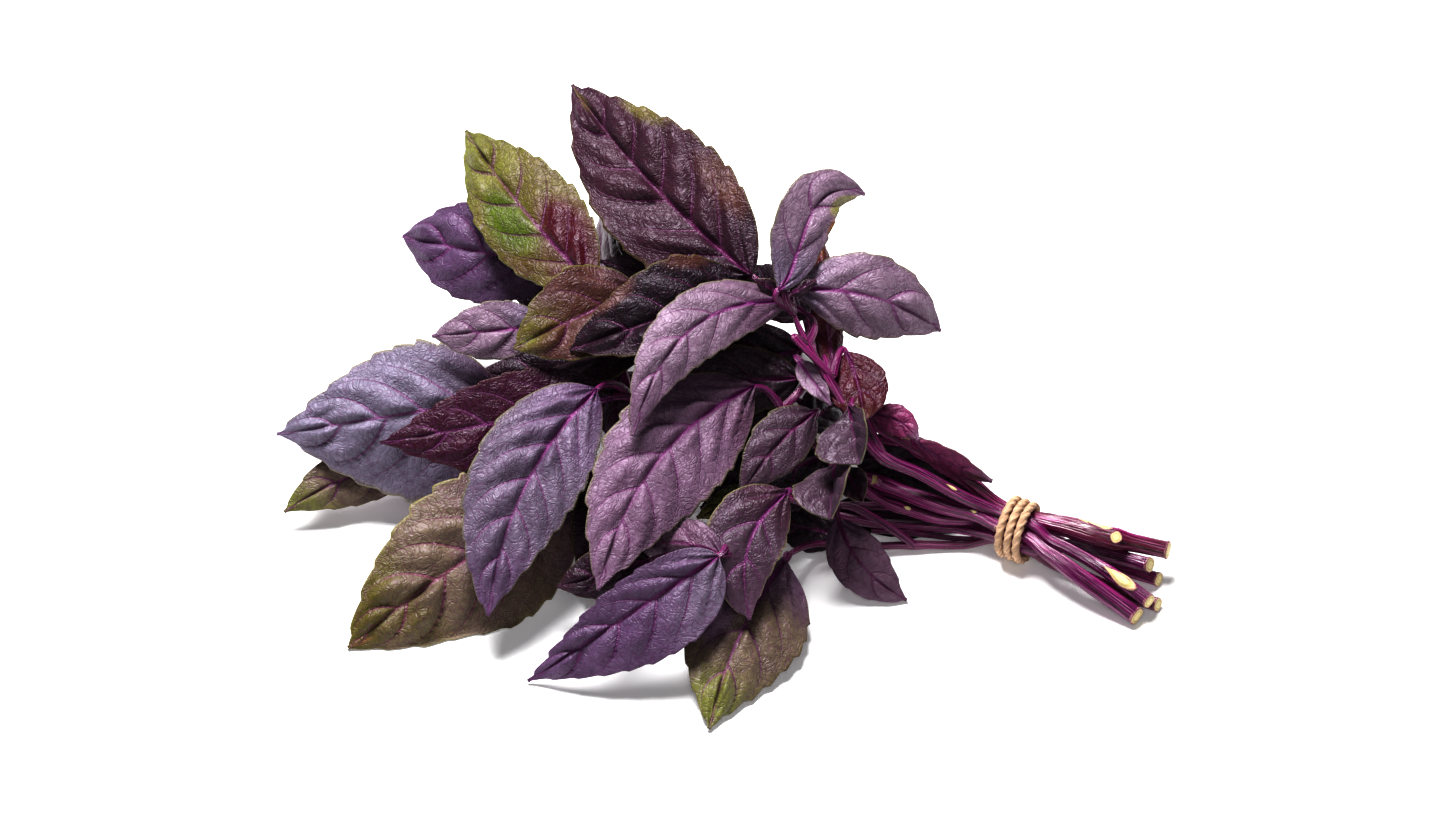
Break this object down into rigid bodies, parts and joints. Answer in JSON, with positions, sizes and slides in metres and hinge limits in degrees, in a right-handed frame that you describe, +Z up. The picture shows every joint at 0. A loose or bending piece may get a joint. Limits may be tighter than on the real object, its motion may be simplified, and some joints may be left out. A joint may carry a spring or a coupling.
{
  "type": "bunch of purple basil",
  "caption": "Bunch of leafy purple basil stems tied with twine, lying on its side with the cut stem ends together and the leaves spread in a fan.",
  "frame": {"origin": "on the surface the bunch lies on, under the turn of the twine nearest the leaves", "axes": "+X along the stems to their cut ends, leaves spread towards -X, +Z up"},
  "size_m": [0.2138, 0.1611, 0.0762],
  "materials": {
    "leaf": "soft satin leaf, dark purple with lilac sheen and olive edges",
    "stem": "satin magenta-purple stem with fine lengthwise streaks",
    "twine": "dull tan jute, three twisted strands with loose fibres"
  },
  "bodies": {
    "root": {"crown_stem": "leaf", "upper_stem": "leaf", "middle_stem": "leaf", "front_stem": "leaf", "low_stem": "leaf", "near_stem": "leaf", "twine_tie": "twine"}
  },
  "joints": []
}
